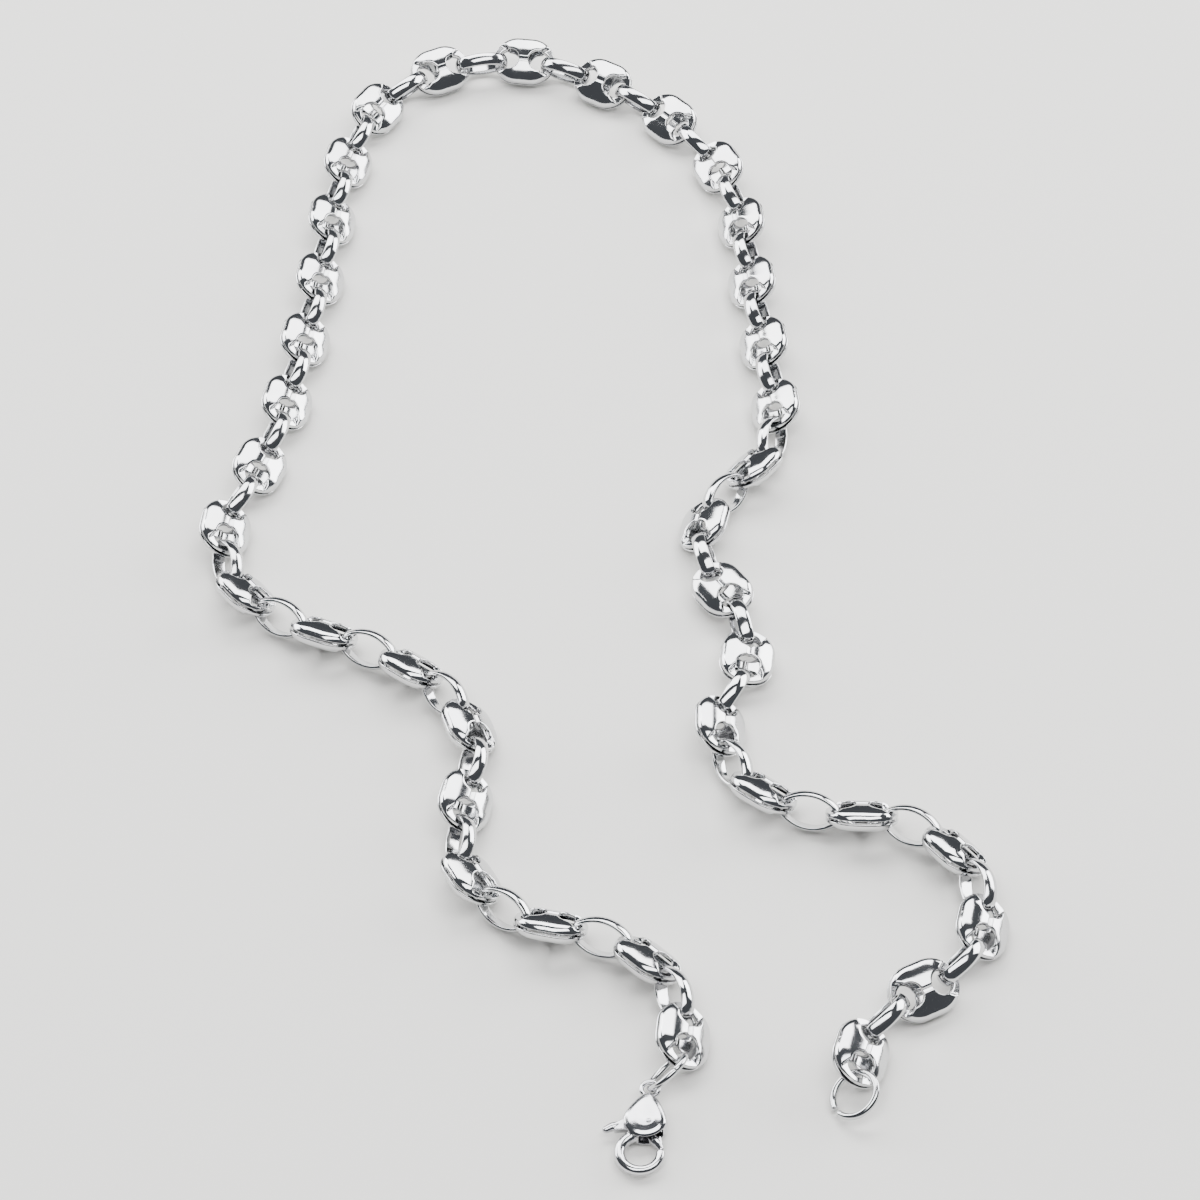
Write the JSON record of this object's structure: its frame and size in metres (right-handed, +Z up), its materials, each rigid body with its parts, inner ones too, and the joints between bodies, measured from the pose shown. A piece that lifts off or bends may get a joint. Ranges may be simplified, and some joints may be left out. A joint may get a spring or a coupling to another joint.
{
  "type": "chain necklace",
  "caption": "Polished steel coffee-bean chain necklace: puffed two-shell oval links joined by domed oval rings, with a lobster clasp and an open end ring.",
  "frame": {"origin": "centre of the bounding box, on the surface that the necklace rests on", "axes": "+Z up from the resting surface, +Y from the two ends towards the loop at the back of the neck, +X to the right when seen from the ends"},
  "size_m": [0.1161, 0.236, 0.0063],
  "materials": {
    "link_steel": "mirror polished stainless steel",
    "wire_steel": "polished stainless steel wire",
    "clasp_steel": "polished investment-cast stainless steel",
    "lever_steel": "polished stainless steel",
    "pin_steel": "drawn stainless steel pin, filed flush",
    "spring_steel": "drawn spring wire"
  },
  "bodies": {
    "bean_01": {"bean_01": "link_steel"},
    "ring_01": {"ring_01": "link_steel"},
    "bean_02": {"bean_02": "link_steel"},
    "ring_02": {"ring_02": "link_steel"},
    "bean_03": {"bean_03": "link_steel"},
    "ring_03": {"ring_03": "link_steel"},
    "bean_04": {"bean_04": "link_steel"},
    "ring_04": {"ring_04": "link_steel"},
    "bean_05": {"bean_05": "link_steel"},
    "ring_05": {"ring_05": "link_steel"},
    "bean_06": {"bean_06": "link_steel"},
    "ring_06": {"ring_06": "link_steel"},
    "bean_07": {"bean_07": "link_steel"},
    "ring_07": {"ring_07": "link_steel"},
    "bean_08": {"bean_08": "link_steel"},
    "ring_08": {"ring_08": "link_steel"},
    "bean_09": {"bean_09": "link_steel"},
    "ring_09": {"ring_09": "link_steel"},
    "bean_10": {"bean_10": "link_steel"},
    "ring_10": {"ring_10": "link_steel"},
    "bean_30": {"bean_30": "link_steel"},
    "ring_30": {"ring_30": "link_steel"},
    "bean_31": {"bean_31": "link_steel"},
    "ring_31": {"ring_31": "link_steel"},
    "bean_32": {"bean_32": "link_steel"},
    "ring_32": {"ring_32": "link_steel"},
    "bean_33": {"bean_33": "link_steel"},
    "ring_33": {"ring_33": "link_steel"},
    "bean_34": {"bean_34": "link_steel"},
    "ring_34": {"ring_34": "link_steel"},
    "bean_35": {"bean_35": "link_steel"},
    "ring_35": {"ring_35": "link_steel"},
    "bean_36": {"bean_36": "link_steel"},
    "ring_36": {"ring_36": "link_steel"},
    "bean_37": {"bean_37": "link_steel"},
    "bean_and_ring_11": {"bean_and_ring_11": "link_steel"},
    "bean_and_ring_12": {"bean_and_ring_12": "link_steel"},
    "bean_and_ring_13": {"bean_and_ring_13": "link_steel"},
    "bean_and_ring_14": {"bean_and_ring_14": "link_steel"},
    "bean_and_ring_15": {"bean_and_ring_15": "link_steel"},
    "bean_and_ring_16": {"bean_and_ring_16": "link_steel"},
    "bean_and_ring_17": {"bean_and_ring_17": "link_steel"},
    "bean_and_ring_18": {"bean_and_ring_18": "link_steel"},
    "bean_and_ring_19": {"bean_and_ring_19": "link_steel"},
    "bean_and_ring_20": {"bean_and_ring_20": "link_steel"},
    "bean_and_ring_21": {"bean_and_ring_21": "link_steel"},
    "bean_and_ring_22": {"bean_and_ring_22": "link_steel"},
    "bean_and_ring_23": {"bean_and_ring_23": "link_steel"},
    "bean_and_ring_24": {"bean_and_ring_24": "link_steel"},
    "bean_and_ring_25": {"bean_and_ring_25": "link_steel"},
    "bean_and_ring_26": {"bean_and_ring_26": "link_steel"},
    "bean_and_ring_27": {"bean_and_ring_27": "link_steel"},
    "bean_and_ring_28": {"bean_and_ring_28": "link_steel"},
    "bean_and_ring_29": {"bean_and_ring_29": "link_steel"},
    "clasp_body": {"clasp_body": "clasp_steel", "clasp_pin": "pin_steel", "clasp_spring": "spring_steel"},
    "clasp_lever": {"clasp_lever": "lever_steel"},
    "clasp_ring": {"clasp_ring": "wire_steel"},
    "end_ring": {"end_ring": "wire_steel"}
  },
  "joints": [
    {"name": "tip_bean_and_ring_21", "type": "hinge", "parent": "bean_and_ring_20", "child": "bean_and_ring_21", "pos_m": [0.01011, 0.1022, 0.00308], "axis": [0.5539, 0.6297, 0.5446], "range_deg": [-28, 28]},
    {"name": "swing_bean_and_ring_22", "type": "hinge", "parent": "bean_and_ring_21", "child": "bean_and_ring_22", "pos_m": [0.02024, 0.08859, 0.00319], "axis": [-0.5013, -0.2128, 0.8387], "range_deg": [-24, 24]},
    {"name": "tip_bean_and_ring_23", "type": "hinge", "parent": "bean_and_ring_22", "child": "bean_and_ring_23", "pos_m": [0.02409, 0.07687, 0.00308], "axis": [-0.8138, -0.2029, -0.5446], "range_deg": [-28, 28]},
    {"name": "swing_bean_and_ring_24", "type": "hinge", "parent": "bean_and_ring_23", "child": "bean_and_ring_24", "pos_m": [0.02588, 0.05992, 0.00315], "axis": [-0.5421, -0.0522, 0.8387], "range_deg": [-24, 24]},
    {"name": "tip_bean_and_ring_25", "type": "hinge", "parent": "bean_and_ring_24", "child": "bean_and_ring_25", "pos_m": [0.0271, 0.04761, 0.00315], "axis": [0.8345, 0.084, 0.5446], "range_deg": [-28, 28]},
    {"name": "swing_bean_and_ring_26", "type": "hinge", "parent": "bean_and_ring_25", "child": "bean_and_ring_26", "pos_m": [0.02879, 0.03062, 0.00314], "axis": [-0.5426, -0.0475, 0.8387], "range_deg": [-24, 24]},
    {"name": "tip_bean_and_ring_27", "type": "hinge", "parent": "bean_and_ring_26", "child": "bean_and_ring_27", "pos_m": [0.02758, 0.0185, 0.00296], "axis": [0.8101, -0.2171, 0.5446], "range_deg": [-28, 28]},
    {"name": "swing_bean_and_ring_28", "type": "hinge", "parent": "bean_and_ring_27", "child": "bean_and_ring_28", "pos_m": [0.0181, 0.00452, 0.00289], "axis": [0.5327, -0.1132, -0.8387], "range_deg": [-13, 24]},
    {"name": "tip_bean_and_ring_29", "type": "hinge", "parent": "bean_and_ring_28", "child": "bean_and_ring_29", "pos_m": [0.0181, -0.00761, 0.00323], "axis": [0.9117, 0.169, 0.3746], "range_deg": [-28, 28]},
    {"name": "tip_bean_30", "type": "hinge", "parent": "bean_and_ring_29", "child": "bean_30", "pos_m": [0.02304, -0.02125, 0.00304], "axis": [0.973, 0.2306, 0], "range_deg": [-28, 28]},
    {"name": "swing_ring_30", "type": "hinge", "parent": "bean_30", "child": "ring_30", "pos_m": [0.02299, -0.02861, 0.00302], "axis": [-0.1896, 0.021, -0.9816], "range_deg": [-24, 3]},
    {"name": "tip_bean_31", "type": "hinge", "parent": "ring_30", "child": "bean_31", "pos_m": [0.01983, -0.03515, 0.00315], "axis": [-0.8333, 0.4064, 0.3746], "range_deg": [-28, 28]},
    {"name": "swing_ring_31", "type": "hinge", "parent": "bean_31", "child": "ring_31", "pos_m": [0.01899, -0.04243, 0.00338], "axis": [0.5446, -0.0095, 0.8387], "range_deg": [-24, 13]},
    {"name": "tip_bean_32", "type": "hinge", "parent": "ring_31", "child": "bean_32", "pos_m": [0.02172, -0.0491, 0.00302], "axis": [-0.7632, -0.3478, 0.5446], "range_deg": [-28, 28]},
    {"name": "swing_ring_32", "type": "hinge", "parent": "bean_32", "child": "ring_32", "pos_m": [0.02683, -0.05434, 0.00332], "axis": [0.3501, 0.4172, 0.8387], "range_deg": [-24, 13]},
    {"name": "tip_bean_33", "type": "hinge", "parent": "ring_32", "child": "bean_33", "pos_m": [0.03372, -0.05647, 0.003], "axis": [-0.2171, -0.8101, 0.5446], "range_deg": [-28, 28]},
    {"name": "swing_ring_33", "type": "hinge", "parent": "bean_33", "child": "ring_33", "pos_m": [0.04111, -0.0571, 0.00319], "axis": [-0.019, -0.5443, -0.8387], "range_deg": [-24, 18]},
    {"name": "tip_bean_34", "type": "hinge", "parent": "ring_33", "child": "bean_34", "pos_m": [0.04764, -0.06015, 0.0034], "axis": [0.3833, 0.7459, -0.5446], "range_deg": [-28, 28]},
    {"name": "swing_ring_34", "type": "hinge", "parent": "bean_34", "child": "ring_34", "pos_m": [0.05266, -0.06548, 0.00303], "axis": [-0.4315, -0.3323, -0.8387], "range_deg": [-24, 13]},
    {"name": "tip_bean_35", "type": "hinge", "parent": "ring_34", "child": "bean_35", "pos_m": [0.05448, -0.07246, 0.00332], "axis": [0.8191, 0.1801, -0.5446], "range_deg": [-28, 28]},
    {"name": "swing_ring_35", "type": "hinge", "parent": "bean_35", "child": "ring_35", "pos_m": [0.05357, -0.07973, 0.003], "axis": [-0.5311, 0.1207, -0.8387], "range_deg": [-24, 13]},
    {"name": "tip_bean_36", "type": "hinge", "parent": "ring_35", "child": "bean_36", "pos_m": [0.04935, -0.08557, 0.0033], "axis": [0.6609, -0.5163, -0.5446], "range_deg": [-28, 28]},
    {"name": "swing_ring_36", "type": "hinge", "parent": "bean_36", "child": "ring_36", "pos_m": [0.04323, -0.08961, 0.003], "axis": [0.2557, -0.4809, 0.8387], "range_deg": [-24, 18]},
    {"name": "tip_bean_37", "type": "hinge", "parent": "ring_36", "child": "bean_37", "pos_m": [0.03849, -0.09506, 0.00285], "axis": [0.6518, -0.5278, -0.5446], "range_deg": [-28, 28]},
    {"name": "swing_bean_and_ring_19", "type": "hinge", "parent": "bean_and_ring_20", "child": "bean_and_ring_19", "pos_m": [0.00035, 0.10976, 0.00316], "axis": [-0.3019, -0.4533, 0.8387], "range_deg": [-24, 24]},
    {"name": "tip_bean_and_ring_18", "type": "hinge", "parent": "bean_and_ring_19", "child": "bean_and_ring_18", "pos_m": [-0.01568, 0.11436, 0.00304], "axis": [0.1456, -0.8259, -0.5446], "range_deg": [-3, 28]},
    {"name": "swing_bean_and_ring_17", "type": "hinge", "parent": "bean_and_ring_18", "child": "bean_and_ring_17", "pos_m": [-0.02728, 0.11051, 0.00327], "axis": [0.2557, -0.4809, 0.8387], "range_deg": [-24, 3]},
    {"name": "tip_bean_and_ring_16", "type": "hinge", "parent": "bean_and_ring_17", "child": "bean_and_ring_16", "pos_m": [-0.03723, 0.09701, 0.00311], "axis": [-0.8101, 0.2171, 0.5446], "range_deg": [-28, 28]},
    {"name": "swing_bean_and_ring_15", "type": "hinge", "parent": "bean_and_ring_16", "child": "bean_and_ring_15", "pos_m": [-0.04007, 0.08498, 0.00316], "axis": [0.534, -0.107, 0.8387], "range_deg": [-24, 24]},
    {"name": "tip_bean_and_ring_14", "type": "hinge", "parent": "bean_and_ring_15", "child": "bean_and_ring_14", "pos_m": [-0.04189, 0.06802, 0.00314], "axis": [-0.8357, 0.0707, 0.5446], "range_deg": [-28, 28]},
    {"name": "swing_bean_and_ring_13", "type": "hinge", "parent": "bean_and_ring_14", "child": "bean_and_ring_13", "pos_m": [-0.04302, 0.0557, 0.00313], "axis": [0.542, -0.0538, 0.8387], "range_deg": [-24, 24]},
    {"name": "tip_bean_and_ring_12", "type": "hinge", "parent": "bean_and_ring_13", "child": "bean_and_ring_12", "pos_m": [-0.04508, 0.03875, 0.00313], "axis": [-0.8302, 0.1191, 0.5446], "range_deg": [-28, 28]},
    {"name": "swing_bean_and_ring_11", "type": "hinge", "parent": "bean_and_ring_12", "child": "bean_and_ring_11", "pos_m": [-0.04692, 0.02652, 0.0031], "axis": [-0.5379, 0.0852, -0.8387], "range_deg": [-24, 24]},
    {"name": "tip_ring_10", "type": "hinge", "parent": "bean_and_ring_11", "child": "ring_10", "pos_m": [-0.05152, 0.01011, 0.00305], "axis": [-0.7776, 0.3142, 0.5446], "range_deg": [-28, 28]},
    {"name": "swing_bean_10", "type": "hinge", "parent": "ring_10", "child": "bean_10", "pos_m": [-0.05405, 0.00332, 0.00328], "axis": [-0.5426, 0.0475, -0.8387], "range_deg": [-18, 24]},
    {"name": "tip_ring_09", "type": "hinge", "parent": "bean_10", "child": "ring_09", "pos_m": [-0.05409, -0.00404, 0.00303], "axis": [-0.8062, -0.2312, 0.5446], "range_deg": [-28, 28]},
    {"name": "swing_bean_09", "type": "hinge", "parent": "ring_09", "child": "bean_09", "pos_m": [-0.05187, -0.01092, 0.00331], "axis": [-0.435, -0.3278, -0.8387], "range_deg": [-18, 24]},
    {"name": "tip_ring_08", "type": "hinge", "parent": "bean_09", "child": "ring_08", "pos_m": [-0.04697, -0.01641, 0.00308], "axis": [0.4444, 0.7112, -0.5446], "range_deg": [-28, 28]},
    {"name": "swing_bean_08", "type": "hinge", "parent": "ring_08", "child": "bean_08", "pos_m": [-0.04076, -0.02018, 0.00317], "axis": [0.2215, 0.4976, 0.8387], "range_deg": [-24, 24]},
    {"name": "tip_ring_07", "type": "hinge", "parent": "bean_08", "child": "ring_07", "pos_m": [-0.03398, -0.02327, 0.00323], "axis": [0.3677, 0.7538, -0.5446], "range_deg": [-28, 28]},
    {"name": "swing_bean_07", "type": "hinge", "parent": "ring_07", "child": "bean_07", "pos_m": [-0.02752, -0.02658, 0.00308], "axis": [-0.339, -0.4262, -0.8387], "range_deg": [-24, 23]},
    {"name": "tip_ring_06", "type": "hinge", "parent": "bean_07", "child": "ring_06", "pos_m": [-0.02195, -0.03147, 0.00326], "axis": [0.6518, 0.5278, -0.5446], "range_deg": [-28, 28]},
    {"name": "swing_bean_06", "type": "hinge", "parent": "ring_06", "child": "bean_06", "pos_m": [-0.01759, -0.03724, 0.00298], "axis": [-0.5194, -0.1638, -0.8387], "range_deg": [-24, 18]},
    {"name": "tip_ring_05", "type": "hinge", "parent": "bean_06", "child": "ring_05", "pos_m": [-0.01597, -0.04442, 0.00322], "axis": [-0.8366, 0.0585, 0.5446], "range_deg": [-28, 28]},
    {"name": "swing_bean_05", "type": "hinge", "parent": "ring_05", "child": "bean_05", "pos_m": [-0.01656, -0.05166, 0.00317], "axis": [-0.5346, 0.1039, -0.8387], "range_deg": [-24, 24]},
    {"name": "tip_ring_04", "type": "hinge", "parent": "bean_05", "child": "ring_04", "pos_m": [-0.01761, -0.059, 0.00297], "axis": [-0.8382, -0.0293, 0.5446], "range_deg": [-28, 28]},
    {"name": "swing_bean_04", "type": "hinge", "parent": "ring_04", "child": "bean_04", "pos_m": [-0.01708, -0.06619, 0.00326], "axis": [0.4853, 0.2473, 0.8387], "range_deg": [-24, 13]},
    {"name": "tip_ring_03", "type": "hinge", "parent": "bean_04", "child": "ring_03", "pos_m": [-0.01314, -0.07236, 0.00291], "axis": [0.5163, 0.6609, -0.5446], "range_deg": [-28, 28]},
    {"name": "swing_bean_03", "type": "hinge", "parent": "ring_03", "child": "bean_03", "pos_m": [-0.00729, -0.07658, 0.00315], "axis": [-0.1225, -0.5307, -0.8387], "range_deg": [-13, 24]},
    {"name": "tip_ring_02", "type": "hinge", "parent": "bean_03", "child": "ring_02", "pos_m": [-0.0001, -0.07848, 0.00331], "axis": [0.3005, 0.783, -0.5446], "range_deg": [-28, 28]},
    {"name": "swing_bean_02", "type": "hinge", "parent": "ring_02", "child": "bean_02", "pos_m": [0.00653, -0.08132, 0.00302], "axis": [-0.3918, -0.3783, -0.8387], "range_deg": [-24, 13]},
    {"name": "tip_ring_01", "type": "hinge", "parent": "bean_02", "child": "ring_01", "pos_m": [0.01108, -0.08706, 0.00337], "axis": [-0.793, -0.273, 0.5446], "range_deg": [-28, 28]},
    {"name": "swing_bean_01", "type": "hinge", "parent": "ring_01", "child": "bean_01", "pos_m": [0.01317, -0.09396, 0.00314], "axis": [0.5417, -0.0569, 0.8387], "range_deg": [-13, 24]},
    {"name": "swing_clasp_ring", "type": "hinge", "parent": "bean_01", "child": "clasp_ring", "pos_m": [0.01241, -0.10119, 0.00314], "axis": [0.8341, -0.0877, -0.5446], "range_deg": [-25, 25]},
    {"name": "swing_end_ring", "type": "hinge", "parent": "bean_37", "child": "end_ring", "pos_m": [0.03524, -0.10399, 0.00321], "axis": [0.8062, -0.2312, -0.5446], "range_deg": [-23, 25]},
    {"name": "swing_clasp_body", "type": "hinge", "parent": "clasp_ring", "child": "clasp_body", "pos_m": [0.00851, -0.10471, 0.00225], "axis": [-0.0121, -0.0863, 0.9962], "range_deg": [-20, 13]},
    {"name": "open_clasp_lever", "type": "hinge", "parent": "clasp_body", "child": "clasp_lever", "pos_m": [0.0083, -0.11051, 0.00174], "axis": [-0.0121, -0.0863, 0.9962], "range_deg": [-28, 0], "stiffness_Nm_per_rad": 0.003, "springref_deg": 11.46}
  ]
}
